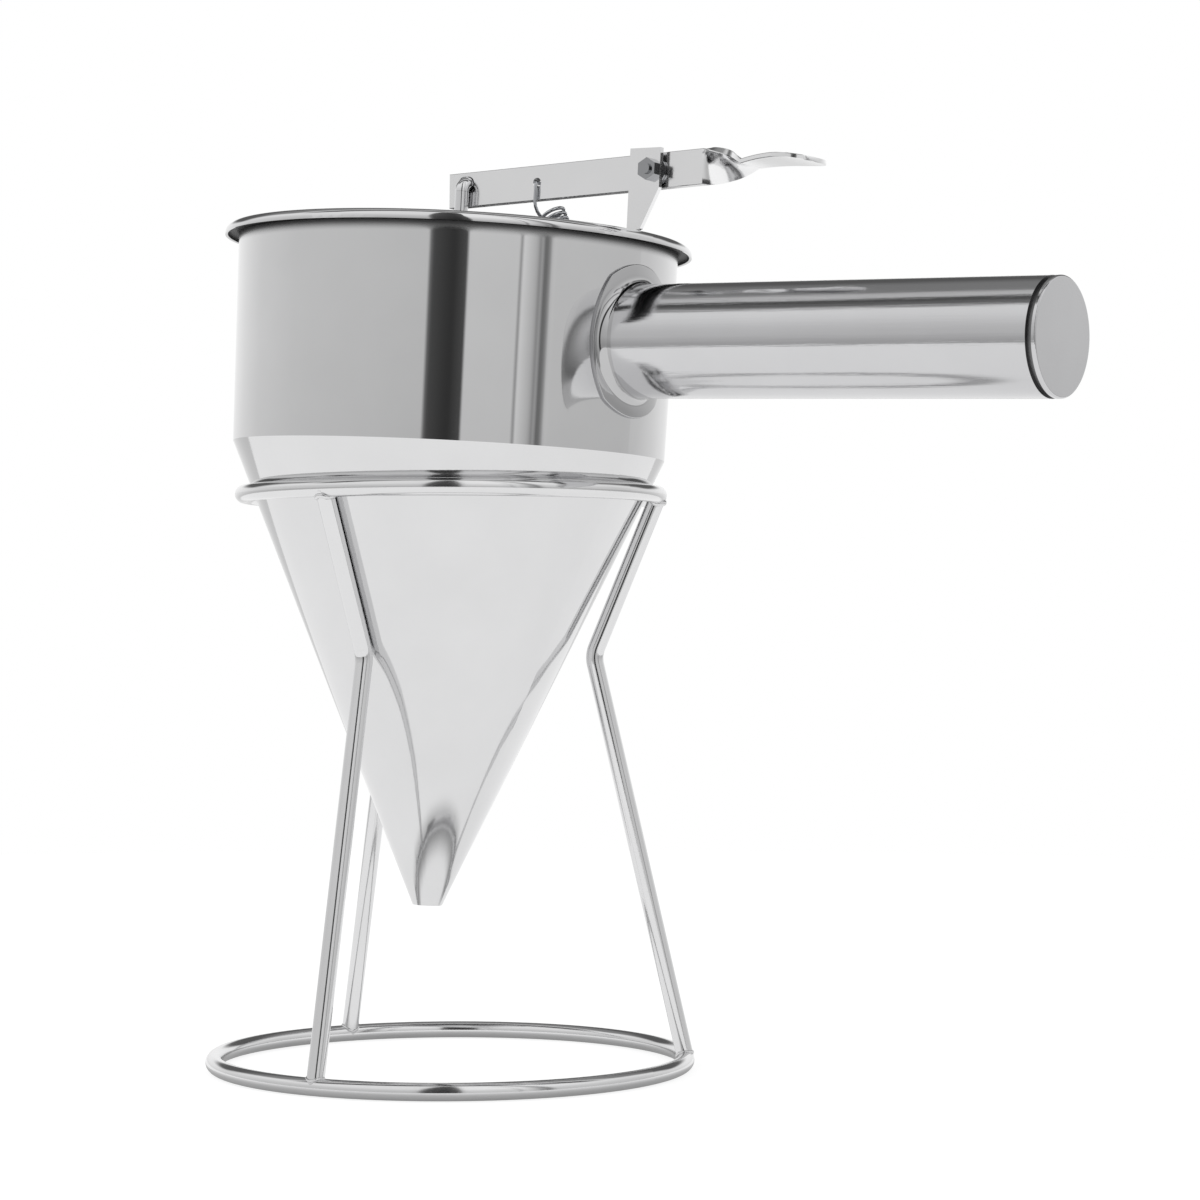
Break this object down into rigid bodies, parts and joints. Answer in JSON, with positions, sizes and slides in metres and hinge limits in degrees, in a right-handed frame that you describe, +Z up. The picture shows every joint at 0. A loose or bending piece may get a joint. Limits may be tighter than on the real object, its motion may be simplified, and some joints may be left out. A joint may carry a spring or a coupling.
{
  "type": "batter dispenser",
  "caption": "Steel funnel with a long cone, rolled rim and round side handle, a spring-loaded lever that lifts a plug valve, resting in a bent wire stand.",
  "frame": {"origin": "centre of the base ring, on the surface that it stands on", "axes": "+Z up; +X from the stand's axis toward the handle's side; the funnel leans 2.7 degrees in its seat, so its handle and lever are that much off level"},
  "size_m": [0.2681, 0.142, 0.2625],
  "materials": {
    "stand_wire": "polished",
    "funnel_sheet": "polished",
    "handle": "polished",
    "lever_sheet": "satin",
    "fasteners": "satin",
    "spring_wire": "satin",
    "valve": "satin"
  },
  "bodies": {
    "stand": {"base_ring": "stand_wire", "seat_ring": "stand_wire", "stand_leg_1": "stand_wire", "stand_leg_2": "stand_wire", "stand_leg_3": "stand_wire"},
    "funnel": {"bowl": "funnel_sheet", "cone": "funnel_sheet", "handle_collar": "handle", "handle_tube": "handle", "handle_cap": "handle", "lever_bracket": "lever_sheet", "pivot_screw": "fasteners", "pivot_washer": "fasteners", "pivot_nut": "fasteners", "spring_anchor": "lever_sheet", "return_spring": "spring_wire"},
    "lever": {"lever": "lever_sheet"},
    "valve": {"valve_rod": "valve", "rod_clip": "fasteners", "valve_plug": "valve", "plug_nut": "fasteners"}
  },
  "joints": [
    {"name": "funnel_lift", "type": "slide", "parent": "stand", "child": "funnel", "axis": [0, 0, 1], "range_m": [0, 0.13]},
    {"name": "lever_hinge", "type": "hinge", "parent": "funnel", "child": "lever", "pos_m": [0.0709, 0.00169, 0.25589], "axis": [-0.0005, 0.9997, -0.0263], "range_deg": [0, 10], "stiffness_Nm_per_rad": 1.2, "springref_deg": -8.59, "deforming": ["return_spring"]},
    {"name": "valve_lift", "type": "slide", "parent": "funnel", "child": "valve", "axis": [0.0391, 0.0263, 0.9989], "range_m": [0, 0.0117]}
  ],
  "couplings": [
    {"joint": "valve_lift", "follows": "lever_hinge", "m_per_rad": 0.06567}
  ]
}
